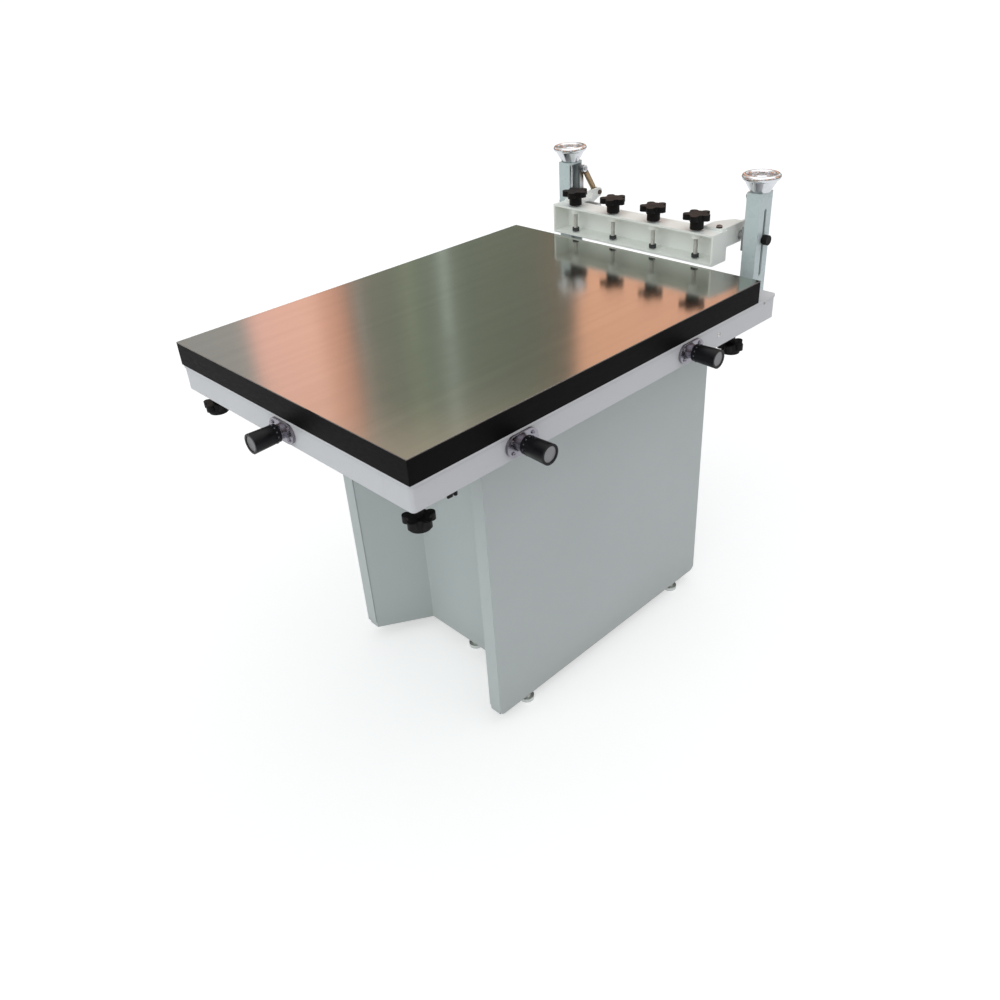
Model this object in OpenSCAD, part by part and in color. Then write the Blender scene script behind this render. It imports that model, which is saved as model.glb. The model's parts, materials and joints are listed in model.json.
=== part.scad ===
/* [Table] */
// Width of the printing table, left to right
table_w = 600; // [560:10:700]
// Depth of the printing table, front to back
table_d = 800; // [760:10:900]
// Thickness of the table's black core
core_t = 38.5; // [34:0.5:46]
// Thickness of the stainless sheet on the core
sheet_t = 1.5; // [1:0.5:3]

/* [Base frame] */
// Height of the frame rails
frame_h = 43; // [43:1:60]
// How far the frame reaches behind the table
frame_tail = 60; // [55:1:65]
// Width of each rail's flanges
rail_w = 60; // [56:1:70]
// Thickness of the rails' webs
rail_web = 3; // [2:0.5:4]
// Thickness of the rails' flanges
rail_flange = 4; // [3:0.5:5]
// How far the top flange stands out past the web
lip = 1.5; // [1:0.5:2.5]
// Radius of the frame's outer corners
frame_corner_r = 8; // [4:1:12]

/* [Pedestal] */
// Width of the pedestal
pedestal_w = 400; // [360:10:420]
// Height of the pedestal's panels and top plate
pedestal_h = 597; // [450:1:750]
// From the table's front edge to the pedestal's front
pedestal_setback = 208; // [190:1:230]
// How far the pedestal's back stands behind the table's back edge
pedestal_tail = 6; // [0:1:12]
// Depth of the knee recess
recess_d = 104; // [70:1:130]
// Width of the flat panel at the back of the knee recess
recess_w = 222; // [180:1:240]
// Width of the strips on the pedestal's front corners
corner_strip = 28; // [20:1:36]
// Thickness of the pedestal's sheet metal
panel_t = 2; // [1.5:0.5:3]
// Thickness of the plate that closes the pedestal's top
top_plate_t = 4; // [3:0.5:6]
// Radius of the panels' lower corners
skirt_r = 12; // [6:1:18]

/* [Levelling feet] */
// Clear height under the pedestal
foot_h = 25; // [20:1:40]
// Radius of a foot's pad
foot_r = 14; // [11:1:16]
// Radius of a foot's threaded stem
foot_stem_r = 5; // [4:0.5:6]

/* [Columns] */
// Distance between the columns' centre lines
column_pitch = 452; // [448:1:462]
// Width of a column, left to right
column_w = 28; // [26:1:32]
// Depth of a column, front to back
column_d = 40; // [38:1:46]
// Thickness of the columns' walls
column_wall = 3; // [2.5:0.5:3.5]
// Gap between the table's back edge and the columns
column_gap = 75; // [72:1:82]
// Height of the columns above the table
column_rise = 122; // [122:1:150]
// Width of the slot in a column's outer wall
slot_w = 7; // [6.5:0.5:8]

/* [Lift] */
// Highest lift of the clamp beam above its rest height
lift = 30; // [10:1:36]
// Radius of the lifting screws
screw_r = 6; // [5:0.5:7]
// Radius of the handwheels
wheel_r = 34.5; // [32:0.5:40]
// Height of the handwheels
wheel_h = 31; // [28:0.5:36]
// Thickness of a handwheel's rim
wheel_rim = 11; // [8:0.5:13]
// Radius of a handwheel's foot
wheel_foot_r = 18; // [14:0.5:20]

/* [Clamp beam] */
// Length of the clamp beam
beam_w = 388; // [380:1:394]
// Depth of the clamp beam
beam_d = 44; // [40:1:44]
// Height of the clamp beam
beam_h = 56; // [50:1:64]
// Thickness of the clamp beam's walls
beam_wall = 4; // [3:0.5:5]
// Gap between the table's back edge and the beam
beam_gap = 6; // [6:0.5:10]
// Height of the beam's underside above the table
beam_rise = 2; // [1:0.5:4]
// Spacing of the clamp screws
clamp_pitch = 98; // [90:1:106]
// Radius of the clamp screws
clamp_screw_r = 4; // [3.5:0.5:5]
// From the beam's front face back to the clamp screws
clamp_inset = 15; // [12:0.5:20]
// Radius of the clamp pads
clamp_pad_r = 7; // [6:0.5:10]
// Radius of the star knobs on the clamp screws
clamp_knob_r = 26; // [22:1:30]

/* [Swing arms and struts] */
// Thickness of a swing arm
arm_t = 5; // [4:0.5:6]
// Height of the swing pivot above the table
pivot_rise = 38; // [34:1:42]
// Radius of the swing pivot pins
pivot_r = 8; // [6:0.5:9]
// Radius of a strut's cylinder
strut_r = 5.75; // [5:0.25:6]
// Height of a strut's upper pin above the table
anchor_rise = 108; // [104:1:110]

/* [Adjusters] */
// How far the front side adjuster stands behind the table's front edge
side_front_inset = 201; // [185:1:210]
// How far the rear side adjuster stands before the table's back edge
side_rear_inset = 200; // [190:1:220]
// Radius of the adjusters' grips at their inner ends
grip_r = 14.5; // [13:0.5:15]
// Radius of the adjusters' grips at their outer ends
grip_end_r = 16; // [15:0.5:17]
// Length of the adjusters' grips
grip_l = 44.5; // [36:0.5:50]
// Half the height of the adjusters' oblong collars
collar_r = 17; // [15:0.5:17]
// Half the length of the straight part of a collar
collar_flat = 14; // [10:0.5:18]
// Radius of the adjusters' spindles
spindle_r = 4; // [3:0.5:5]
// Travel of the table each way
travel = 5; // [3:0.5:6]

/* [Lock knobs] */
// Radius of the lock knobs under the frame
lock_knob_r = 24; // [22:1:26]
// Length of the lock knobs' slim necks
lock_neck_l = 26; // [12:1:30]
// Radius of the lock knobs' studs
stud_r = 4; // [3.5:0.5:5]
// From the table's side edges to the studs
stud_inset_x = 30; // [29:1:34]
// From the table's front and back edges to the studs
stud_inset_y = 30; // [29:1:34]

/* [Clearances] */
// Gap between faces that slide on each other
slide_gap = 0.3; // [0.2:0.05:0.5]
// Radial clearance of a shaft in its bore
bore_gap = 0.05; // [0.02:0.01:0.1]

/* [Hidden] */
$fn = 96;
cut = 1;

// Heights, from the floor up
pedestal_z = foot_h;
frame_z = pedestal_z + pedestal_h;
frame_top = frame_z + frame_h;
core_z = frame_top + slide_gap;
sheet_z = core_z + core_t;
table_z = sheet_z + sheet_t;
spindle_z = frame_z + frame_h / 2;

// Plan of the table and the frame, from the table's middle
table_x = table_w / 2;
table_y = table_d / 2;
frame_back = table_y + frame_tail;
web_x = table_x - lip;
web_y = table_y - lip;
side_front_y = table_y - side_front_inset;
side_rear_y = table_y - side_rear_inset;

// Plan of the pedestal
pedestal_x = pedestal_w / 2;
pedestal_y0 = pedestal_setback - table_y;
pedestal_y1 = table_y + pedestal_tail;
pedestal_d = pedestal_y1 - pedestal_y0;
recess_y = pedestal_y0 + recess_d;
wing_x = pedestal_x - corner_strip;
panel_h = pedestal_h - top_plate_t;

// Columns, lifting screws and sliders
column_x = column_pitch / 2;
column_in = column_x - column_w / 2;
column_out = column_x + column_w / 2;
column_y0 = table_y + column_gap;
column_y1 = column_y0 + column_d;
column_yc = (column_y0 + column_y1) / 2;
column_top = table_z + column_rise;
cap_t = 5;
sole_t = 6;
slider_h = 44;
pivot_y = column_yc + 2;
pivot_z = table_z + pivot_rise;
slot_spare = 21;
slot_z0 = frame_top + 2 * slot_w;
slot_z1 = pivot_z + lift + slot_spare;
slot_y = column_yc + 1;
wheel_hub_r = 10;
wheel_dish_r = 17;
screw_tail = 6;
pivot_pin_x0 = 150;

// Clamp beam
beam_x = beam_w / 2;
beam_y0 = table_y + beam_gap;
beam_y1 = beam_y0 + beam_d;
beam_z0 = table_z + beam_rise;
beam_z1 = beam_z0 + beam_h;
beam_floor_z = beam_z0 + beam_wall;
clamp_y = beam_y0 + clamp_inset;
clamp_count = 4;
pad_h = 6;
pad_lift = 2.5;
pad_z = beam_floor_z + pad_lift;
boss_r = clamp_screw_r + 6;
boss_h = 10;
clamp_hub_r = 12.5;
clamp_hub_h = 17;
clamp_head_h = 10.5;
clamp_knob_z = beam_z1 + 3;
clamp_screw_top = clamp_knob_z + clamp_hub_h + clamp_head_h - 5;

// Swing arms and struts
arm_gap = 2;
arm_x1 = beam_x - arm_gap;
arm_x0 = arm_x1 - arm_t;
lever_y = pivot_y + 45;
lever_z = pivot_z + 16;
pivot_boss_r = pivot_r + 4;
arm_plate_t = 4;
arm_plate_w = 42;
arm_plate_taper = 22;
arm_lap = 12;
arm_foot_w = 30;
arm_bolt_hex = 10;
arm_bolt_h = 5;
arm_plate_z = beam_z1 + 0.1;
arm_rise = 24;
lever_r = 9;
strut_pin_r = 4;
strut_x = arm_x1 + slide_gap + 1 + strut_r;
strut_eye_r = 7;
strut_eye_w = 8;
anchor_y = column_yc + 12;
anchor_z = table_z + anchor_rise;
strut_len = norm([lever_y - anchor_y, lever_z - anchor_z]);
strut_tilt = atan2(lever_y - anchor_y, anchor_z - lever_z);
strut_rod_r = 3;
strut_slack = 3;
strut_neck_r = 3.9;
strut_neck_l = lever_r + 3.5;
post_x1 = column_in - 2;
post_t = 4;

// Adjusters
grip_gap = 1;
collar_t = 5;
collar_neck_r = 12;
collar_neck_l = 6;
cap_disc_r = grip_end_r * 0.76;
cap_disc_t = 3;
cap_sunk = 1;
spindle_end = 115;
adjuster_reach = collar_t + collar_neck_l + grip_gap + grip_l - lip;

// Cross slides under the table
bridge_t = 4;
bridge_d = 120;
bridge_z = frame_z + rail_flange;
bridge_top = bridge_z + bridge_t;
rail_x = 30;
guide_w = 10;
guide_h = 8;
y_slide_w = 90;
y_slide_d = 70;
y_slide_top = frame_top - 13;
ridge_y = 20;
ridge_w = 8;
ridge_h = 4;
x_slide_z = y_slide_top + slide_gap;
x_slide_h = 10;
x_slide_w = 80;
x_slide_top = x_slide_z + x_slide_h;
nut_x = 150;
nut_w = 20;
nut_pin_r = 5;
pivot_pin_r = 10;
plate_r = 110;
plate_h = 9;
plate_z = x_slide_top + slide_gap;
housing_r = plate_r + 12;
housing_top = plate_z + plate_h;

// Lock studs: the holes in the frame leave room for every travel and turn
turn_max = 2 * travel / (side_front_y + side_rear_y);
stud_x = table_x - stud_inset_x;
stud_y = table_y - stud_inset_y;
stud_shift_x = travel + turn_max * (stud_y - side_front_y);
stud_shift_y = travel + turn_max * stud_x;
stud_hole_r = stud_r + norm([stud_shift_x, stud_shift_y]) + 1;
washer_t = 2.5;
lock_washer_r = stud_hole_r + 4;
lock_neck_r = 7;
lock_head_h = 11;
lock_cap_r = 16.5;
lock_cap_h = 8;

// The footprint's middle, which the model is centred on
footprint_x = adjuster_reach / 2;
footprint_y = (lever_y + lever_r - adjuster_reach - table_y) / 2;

paint = [0.93, 0.95, 0.95];
frame_paint = [0.9, 0.93, 0.94];
black = [0.08, 0.08, 0.09];
steel = [0.62, 0.64, 0.66];
chrome = [0.85, 0.86, 0.88];
bronze = [0.55, 0.45, 0.3];

// Moves geometry drawn about the table's middle onto the middle of the footprint
module in_frame() {
    translate([-footprint_x, -footprint_y, 0]) children();
}

module mirrored() {
    mirror([1, 0, 0]) children();
}

module both_sides() {
    children();
    mirrored() children();
}

// A box given by its low and high corners
module block(low, high) {
    translate(low) cube(high - low);
}

module rod_x(r, x0, x1) {
    translate([x0, 0, 0]) rotate([0, 90, 0]) cylinder(r = r, h = x1 - x0);
}

module rod_y(r, y0, y1) {
    translate([0, y0, 0]) rotate([-90, 0, 0]) cylinder(r = r, h = y1 - y0);
}

module rod_z(r, z0, z1) {
    translate([0, 0, z0]) cylinder(r = r, h = z1 - z0);
}

// A hexagon head or nut
module hex(across, h) {
    cylinder(r = across / sqrt(3), h = h, $fn = 6);
}

// A flat rectangle with round corners
module rounded_rect(low, high, r) {
    translate([low.x + r, low.y]) square([high.x - low.x - 2 * r, high.y - low.y]);
    translate([low.x, low.y + r]) square([high.x - low.x, high.y - low.y - 2 * r]);
    for (x = [low.x + r, high.x - r])
        for (y = [low.y + r, high.y - r])
            translate([x, y]) circle(r = r);
}

// A lobed star head on a round hub, standing up from z = 0
module star_knob(r, hub_r, hub_h, head_h) {
    lobes = 5;
    lobe_r = r * 0.3;
    cylinder(r = hub_r, h = hub_h + 1);
    translate([0, 0, hub_h]) {
        cylinder(r = r * 0.68, h = head_h);
        for (i = [0 : lobes - 1])
            rotate(i * 360 / lobes) {
                translate([r - lobe_r, 0, 0]) cylinder(r = lobe_r, h = head_h);
                translate([0, -lobe_r, 0]) cube([r - lobe_r, 2 * lobe_r, head_h]);
            }
    }
}

// Pedestal

// A side panel's outline, seen from the side, with round lower corners
module side_outline() {
    rounded_rect([pedestal_y0, pedestal_z], [pedestal_y1, pedestal_z + 4 * skirt_r], skirt_r);
    translate([pedestal_y0, pedestal_z + 2 * skirt_r]) square([pedestal_d, panel_h - 2 * skirt_r]);
}

module pedestal_side() {
    color(paint) {
        translate([pedestal_x - panel_t, 0, 0])
            rotate([90, 0, 90]) linear_extrude(panel_t) side_outline();
        for (y = [pedestal_y0, pedestal_y1 - panel_t])
            block([wing_x, y, pedestal_z + skirt_r],
                [pedestal_x - panel_t / 2, y + panel_t, pedestal_z + panel_h]);
        block([pedestal_x - corner_strip, pedestal_y0 + panel_t / 2, pedestal_z + panel_h - panel_t],
            [pedestal_x - panel_t / 2, pedestal_y1 - panel_t / 2, pedestal_z + panel_h]);
    }
}

module pedestal_side_right() {
    in_frame() pedestal_side();
}

module pedestal_side_left() {
    in_frame() mirrored() pedestal_side();
}

// A mirrored copy of outline points, in the opposite order
function mirrored_points(points) = [for (i = [len(points) - 1 : -1 : 0]) [-points[i].x, points[i].y]];

// The folded front panel: a flat back to the knee recess between two slanting wings
module pedestal_front_panel() {
    half = recess_w / 2;
    tab_x = pedestal_x - 2 * panel_t;
    fold_y = pedestal_y0 + panel_t + slide_gap;
    front = [[tab_x, fold_y], [wing_x, fold_y], [half, recess_y]];
    back = [[half + panel_t, recess_y + panel_t], [wing_x + panel_t, fold_y + panel_t],
        [tab_x, fold_y + panel_t]];
    in_frame() color(paint)
        translate([0, 0, pedestal_z])
            linear_extrude(panel_h - panel_t - slide_gap)
                polygon(concat(front, mirrored_points(front), mirrored_points(back), back));
}

module pedestal_back_panel() {
    half = pedestal_x - panel_t - slide_gap;
    y = pedestal_y1 - 2 * panel_t - slide_gap;
    in_frame() color(paint)
        block([-half, y, pedestal_z], [half, y + panel_t, pedestal_z + panel_h - panel_t - slide_gap]);
}

module pedestal_top_plate() {
    in_frame() color(paint)
        block([-pedestal_x, pedestal_y0, pedestal_z + panel_h], [pedestal_x, pedestal_y1, frame_z]);
}

foot_places = [[pedestal_x - 16, pedestal_y0 + 84], [pedestal_x - 16, pedestal_y1 - 62],
    [-pedestal_x + 16, pedestal_y0 + 84], [-pedestal_x + 16, pedestal_y1 - 62],
    [0, recess_y + panel_t + 16]];
floor_rail_w = 26;
floor_rail_h = 20;
stem_top = pedestal_z + floor_rail_h + 12;

module foot_bores() {
    for (p = foot_places)
        translate(p) rod_z(foot_stem_r + bore_gap, pedestal_z - cut, pedestal_z + floor_rail_h + cut);
}

// Three bars across the pedestal's floor that carry the feet
module pedestal_floor_rails() {
    x1 = pedestal_x - panel_t;
    y0 = recess_y + panel_t;
    y1 = pedestal_y1 - 2 * panel_t - 2 * slide_gap;
    in_frame() color(paint)
        difference() {
            union() {
                both_sides()
                    block([x1 - floor_rail_w - 2, pedestal_y0 + 2 * panel_t + 2 * slide_gap + 40, pedestal_z],
                        [x1, y1, pedestal_z + floor_rail_h]);
                block([-x1, y0, pedestal_z], [x1, y0 + 32, pedestal_z + floor_rail_h]);
            }
            foot_bores();
            mirrored() wing_relief();
            wing_relief();
        }
}

// Clears the floor rails from the slanting wings
module wing_relief() {
    half = recess_w / 2;
    back_y = recess_y + panel_t + slide_gap;
    front_y = pedestal_y0 + 2 * panel_t + 2 * slide_gap;
    translate([0, 0, pedestal_z - cut])
        linear_extrude(floor_rail_h + 2 * cut)
            polygon([[half - 5, back_y], [half + panel_t + 1, back_y], [wing_x + panel_t + 1, front_y],
                [pedestal_x, front_y], [pedestal_x, pedestal_y0 - cut], [half - 5, pedestal_y0 - cut]]);
}

module levelling_feet() {
    pad_t = 8;
    nut_t = 6;
    in_frame() color(steel)
        for (p = foot_places)
            translate(p) {
                rod_z(foot_r, 0, pad_t);
                rod_z(foot_r * 0.55, pad_t - 1, pad_t + 4);
                rod_z(foot_stem_r, pad_t, stem_top);
                difference() {
                    translate([0, 0, pedestal_z - nut_t - 0.1]) hex(17, nut_t);
                    rod_z(foot_stem_r + bore_gap, 0, pedestal_z);
                }
            }
}

// Base frame

// The frame's rounded plan, as a solid to cut rails from
module frame_plan(inset, z0, z1) {
    translate([0, 0, z0])
        linear_extrude(z1 - z0)
            rounded_rect([-table_x + inset, -table_y + inset], [table_x - inset, frame_back - inset],
                frame_corner_r - inset);
}

// The whole folded frame section, which each rail is cut out of
module frame_section() {
    top_z = frame_top - rail_flange;
    difference() {
        union() {
            frame_plan(lip, frame_z, top_z + rail_flange / 2);
            frame_plan(0, top_z, frame_top);
        }
        block([-web_x + rail_web, -web_y + rail_web, frame_z + rail_flange],
            [web_x - rail_web, frame_back - lip - rail_web, top_z]);
        block([-table_x + rail_w, -table_y + rail_w, frame_z - cut],
            [table_x - rail_w, frame_back - rail_w, frame_top + cut]);
        stud_holes();
        spindle_holes();
        column_bolt_holes();
    }
}

module stud_holes() {
    for (x = [-stud_x, stud_x])
        for (y = [-stud_y, stud_y])
            translate([x, y, 0]) rod_z(stud_hole_r, frame_z - cut, frame_top + cut);
}

module spindle_holes() {
    translate([0, 0, spindle_z]) {
        for (y = [-side_front_y, side_rear_y])
            translate([0, y, 0]) rod_x(spindle_r + 2, web_x - rail_web - cut, web_x + cut);
        rod_y(spindle_r + 2, -web_y - cut, -web_y + rail_web + cut);
    }
}

bolt_r = 4;
bolt_hex = 13;
bolt_head_h = 5;
bolt_nut_h = 6;
bolt_spare = 7;
bracket_t = 6;
bracket_bolt_x = 10;
bracket_bolt_y = frame_back - 22;

module column_bolt_holes() {
    for (x = [-column_x, column_x])
        for (dx = [-bracket_bolt_x, bracket_bolt_x])
            translate([x + dx, bracket_bolt_y, 0])
                rod_z(bolt_r + bore_gap, frame_z - cut, frame_z + rail_flange + cut);
}

module side_rail() {
    intersection() {
        frame_section();
        block([table_x - rail_w, -table_y, frame_z], [table_x, frame_back, frame_top]);
    }
}

module frame_right_rail() {
    in_frame() color(frame_paint) side_rail();
}

module frame_left_rail() {
    in_frame() color(frame_paint)
        intersection() {
            frame_section();
            block([-table_x, -table_y, frame_z], [-table_x + rail_w, frame_back, frame_top]);
        }
}

module cross_rail(y0) {
    half = table_x - rail_w - 0.1;
    intersection() {
        frame_section();
        block([-half, y0, frame_z], [half, y0 + rail_w, frame_top]);
    }
}

module frame_front_rail() {
    in_frame() color(frame_paint) cross_rail(-table_y);
}

module frame_rear_rail() {
    in_frame() color(frame_paint) cross_rail(frame_back - rail_w);
}

// Two plates across the frame, the front one with the guides of the lower slide
module slide_bridges() {
    half = web_x - rail_web - slide_gap;
    in_frame() color(steel) {
        for (y = [-side_front_y, side_rear_y])
            block([-half, y - bridge_d / 2, bridge_z + 0.1], [half, y + bridge_d / 2, bridge_top]);
        for (x = [-rail_x, rail_x])
            translate([x, -side_front_y, 0])
                block([-guide_w / 2, -bridge_d / 2 + 4, bridge_top],
                    [guide_w / 2, bridge_d / 2 - 4, bridge_top + guide_h]);
    }
}

// Places a piece drawn along +X from the web's outer face at each adjuster
module at_side(y) {
    translate([web_x, y, spindle_z]) children();
}

module at_front() {
    translate([0, -web_y, spindle_z]) rotate([0, 0, -90]) children();
}

// An oblong collar with four screws
module collar() {
    screw_y = collar_flat + 6;
    screw_z = collar_r - 8;
    screw_head_r = 3;
    cross_w = 0.8;
    difference() {
        union() {
            for (y = [-collar_flat, collar_flat])
                translate([0, y, 0]) rod_x(collar_r, 0, collar_t);
            block([0, -collar_flat, -collar_r], [collar_t, collar_flat, collar_r]);
            rod_x(collar_neck_r, collar_t - 1, collar_t + collar_neck_l);
            for (y = [-screw_y, screw_y])
                for (z = [-screw_z, screw_z])
                    translate([0, y, z]) rod_x(screw_head_r, collar_t - 1, collar_t + 1.8);
        }
        rod_x(spindle_r + bore_gap, -cut, collar_t + collar_neck_l + cut);
        for (y = [-screw_y, screw_y])
            for (z = [-screw_z, screw_z])
                for (turn = [0, 90])
                    translate([collar_t + 0.8, y, z]) rotate([turn, 0, 0])
                        block([0, -screw_head_r * 0.7, -cross_w / 2], [2, screw_head_r * 0.7, cross_w / 2]);
    }
}

module adjuster_collars() {
    in_frame() color(chrome) {
        at_side(-side_front_y) collar();
        at_side(side_rear_y) collar();
        at_front() collar();
    }
}

// Columns and what carries them

module column_brackets() {
    y0 = pedestal_y1 + 4;
    y1 = column_y1 + 5;
    half_w = column_w / 2 + 9;
    rib_h = 30;
    in_frame() color(frame_paint)
        both_sides() translate([column_x, 0, 0])
            difference() {
                union() {
                    block([-half_w, y0, frame_z - bracket_t], [half_w, y1, frame_z]);
                    for (x = [-half_w, half_w - 4])
                        translate([x, 0, 0]) rotate([90, 0, 90])
                            linear_extrude(4)
                                polygon([[y0, frame_z - bracket_t + 1], [y1, frame_z - bracket_t + 1],
                                    [y1, frame_z - bracket_t - 8], [y0 + 40, frame_z - rib_h],
                                    [y0, frame_z - rib_h]]);
                }
                for (dx = [-bracket_bolt_x, bracket_bolt_x])
                    translate([dx, bracket_bolt_y, 0])
                        rod_z(bolt_r + bore_gap, frame_z - bracket_t - cut, frame_z + cut);
                translate([0, column_yc, 0])
                    rod_z(bolt_r + bore_gap, frame_z - bracket_t - cut, frame_z + cut);
            }
}

module column() {
    difference() {
        block([column_in, column_y0, frame_z], [column_out, column_y1, column_top]);
        block([column_in - cut, column_y0 + column_wall, frame_z + sole_t],
            [column_out - column_wall, column_y1 - column_wall, column_top - cap_t]);
        translate([column_x, column_yc, 0]) {
            rod_z(screw_r + bore_gap, column_top - cap_t - cut, column_top + cut);
            rod_z(bolt_r + bore_gap, frame_z - cut, frame_z + sole_t + cut);
        }
        translate([0, slot_y, 0]) {
            block([column_out - column_wall - cut, -slot_w / 2, slot_z0],
                [column_out + cut, slot_w / 2, slot_z1]);
            for (z = [slot_z0, slot_z1])
                translate([0, 0, z]) rod_x(slot_w / 2, column_out - column_wall - cut, column_out + cut);
        }
    }
}

module column_right() {
    in_frame() color(frame_paint) column();
}

module column_left() {
    in_frame() color(frame_paint) mirrored() column();
}

// Bolts of the column brackets, the columns and the frame on its pedestal
module assembly_bolts() {
    in_frame() color(steel)
        both_sides() {
            for (dx = [-bracket_bolt_x, bracket_bolt_x])
                translate([column_x + dx, bracket_bolt_y, frame_z]) assembly_bolt(rail_flange);
            translate([column_x, column_yc, frame_z]) assembly_bolt(sole_t);
        }
}

// A bolt up through a bracket and the sheet of height above it, with its nut
module assembly_bolt(height) {
    rod_z(bolt_r, -bracket_t - 1, height + bolt_spare);
    translate([0, 0, -bracket_t - bolt_head_h]) hex(bolt_hex, bolt_head_h);
    difference() {
        translate([0, 0, height]) hex(bolt_hex, bolt_nut_h);
        rod_z(bolt_r + bore_gap, 0, height + bolt_nut_h + cut);
    }
}

// Cross slides and table

module y_slide() {
    in_frame() color(steel)
        translate([0, -side_front_y, 0])
            difference() {
                union() {
                    block([-y_slide_w / 2, -y_slide_d / 2, bridge_top + slide_gap],
                        [y_slide_w / 2, y_slide_d / 2, y_slide_top]);
                    for (y = [-ridge_y, ridge_y])
                        block([-y_slide_w / 2, y - ridge_w / 2, y_slide_top - 1],
                            [y_slide_w / 2, y + ridge_w / 2, y_slide_top + ridge_h]);
                }
                for (x = [-rail_x, rail_x])
                    block([x - guide_w / 2 - 0.1, -y_slide_d / 2 - cut, bridge_top - cut],
                        [x + guide_w / 2 + 0.1, y_slide_d / 2 + cut, bridge_top + guide_h + 0.1]);
                translate([0, 0, spindle_z]) rod_y(spindle_r + bore_gap, -y_slide_d, y_slide_d);
            }
}

// The upper slide, its pivot pin and the arm that the front side nut pushes
module x_slide() {
    arm_half = nut_pin_r + travel + 8;
    in_frame() color(steel)
        translate([0, -side_front_y, 0])
            difference() {
                union() {
                    block([-x_slide_w / 2, -y_slide_d / 2, x_slide_z],
                        [x_slide_w / 2, y_slide_d / 2, x_slide_top]);
                    block([0, -arm_half, x_slide_z], [nut_x + nut_pin_r + 8, arm_half, x_slide_top]);
                    rod_z(pivot_pin_r, x_slide_z, housing_top);
                }
                for (y = [-ridge_y, ridge_y])
                    block([-x_slide_w, y - ridge_w / 2 - 0.1, x_slide_z - cut],
                        [nut_x * 2, y + ridge_w / 2 + 0.1, x_slide_z + ridge_h + 0.1]);
                yoke_slot(nut_pin_r + travel + 1);
            }
}

// The slot that a nut's pin rides in, along Y
module yoke_slot(reach) {
    half = nut_pin_r + slide_gap;
    translate([nut_x, 0, 0]) {
        block([-half, -reach + half, x_slide_z - 20], [half, reach - half, core_z + 20]);
        for (y = [-reach + half, reach - half])
            translate([0, y, 0]) rod_z(half, x_slide_z - 20, core_z + 20);
    }
}

// The plate that the table turns on, itself turning on the upper slide's pin
module turn_plate() {
    in_frame() color(steel)
        translate([0, -side_front_y, 0])
            difference() {
                rod_z(plate_r, plate_z, housing_top);
                rod_z(pivot_pin_r + bore_gap, plate_z - cut, housing_top + cut);
            }
}

module table_core() {
    in_frame() color(black)
        difference() {
            block([-table_x, -table_y, core_z], [table_x, table_y, sheet_z]);
            translate([0, -side_front_y, 0]) rod_z(housing_r + bore_gap, core_z - cut, housing_top + 1);
            for (x = [-stud_x, stud_x])
                for (y = [-stud_y, stud_y])
                    translate([x, y, 0]) rod_z(stud_r + bore_gap, core_z - cut, core_z + 22);
        }
}

module table_sheet() {
    in_frame() color(chrome)
        block([-table_x, -table_y, sheet_z], [table_x, table_y, table_z]);
}

// The table's pivot housing and the yoke that the rear side nut pushes
module table_brackets() {
    yoke_reach = nut_pin_r + travel + turn_max * nut_x + 2;
    yoke_half = yoke_reach + 8;
    yoke_x = nut_pin_r + 10;
    in_frame() color(steel) {
        translate([0, -side_front_y, 0])
            difference() {
                rod_z(housing_r, plate_z + slide_gap, housing_top + 1);
                rod_z(plate_r + bore_gap, plate_z - cut, housing_top + 2);
            }
        translate([0, side_rear_y, 0])
            difference() {
                block([nut_x - yoke_x, -yoke_half, x_slide_z], [nut_x + yoke_x, yoke_half, core_z]);
                yoke_slot(yoke_reach);
            }
    }
}

// A lock knob hangs under the frame, with its stud up in the table's core
module lock_knob(x, y) {
    head_end = washer_t - 1 + lock_neck_l + lock_head_h;
    in_frame() color(black)
        translate([x, y, frame_z - slide_gap]) mirror([0, 0, 1]) {
            rod_z(lock_washer_r, 0, washer_t);
            translate([0, 0, washer_t - 1]) star_knob(lock_knob_r, lock_neck_r, lock_neck_l, lock_head_h);
            rod_z(lock_cap_r, head_end - 1, head_end + lock_cap_h);
            rod_z(stud_r, -(core_z + 20 - frame_z), washer_t);
        }
}

module lock_knob_front_left() {
    lock_knob(-stud_x, -stud_y);
}

module lock_knob_front_right() {
    lock_knob(stud_x, -stud_y);
}

module lock_knob_rear_left() {
    lock_knob(-stud_x, stud_y);
}

module lock_knob_rear_right() {
    lock_knob(stud_x, stud_y);
}

// Adjusters

grip_start = collar_t + collar_neck_l + grip_gap;
grip_end = grip_start + grip_l;

// A spindle with its end disc; x runs out of the frame from the web's outer face
module spindle(inner) {
    rod_x(spindle_r, -inner, grip_end - cap_sunk);
    rod_x(cap_disc_r, grip_end - cap_sunk - cap_disc_t, grip_end - cap_sunk);
    rod_x(grip_r * 0.45, grip_start - grip_gap + 0.1, grip_start);
}

// A flared grip with a ring of short flutes and a seat for the end disc
module grip() {
    flutes = 16;
    flute_r = 1.2;
    difference() {
        translate([grip_start, 0, 0]) rotate([0, 90, 0]) cylinder(r1 = grip_r, r2 = grip_end_r, h = grip_l);
        rod_x(spindle_r + bore_gap, grip_start - cut, grip_end + cut);
        rod_x(cap_disc_r + bore_gap, grip_end - cap_sunk - cap_disc_t, grip_end + cut);
        for (i = [0 : flutes - 1])
            rotate([i * 360 / flutes, 0, 0])
                translate([0, grip_r + 0.5, 0]) rod_x(flute_r, grip_start + 3, grip_start + 10);
    }
}

module spindle_side_front() {
    in_frame() color(chrome) at_side(-side_front_y) spindle(web_x - spindle_end);
}

module spindle_side_rear() {
    in_frame() color(chrome) at_side(side_rear_y) spindle(web_x - spindle_end);
}

module spindle_front() {
    in_frame() color(chrome) at_front() spindle(web_y - side_front_y + y_slide_d / 2 - travel - 2);
}

module grip_side_front() {
    in_frame() color(black) at_side(-side_front_y) grip();
}

module grip_side_rear() {
    in_frame() color(black) at_side(side_rear_y) grip();
}

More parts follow.
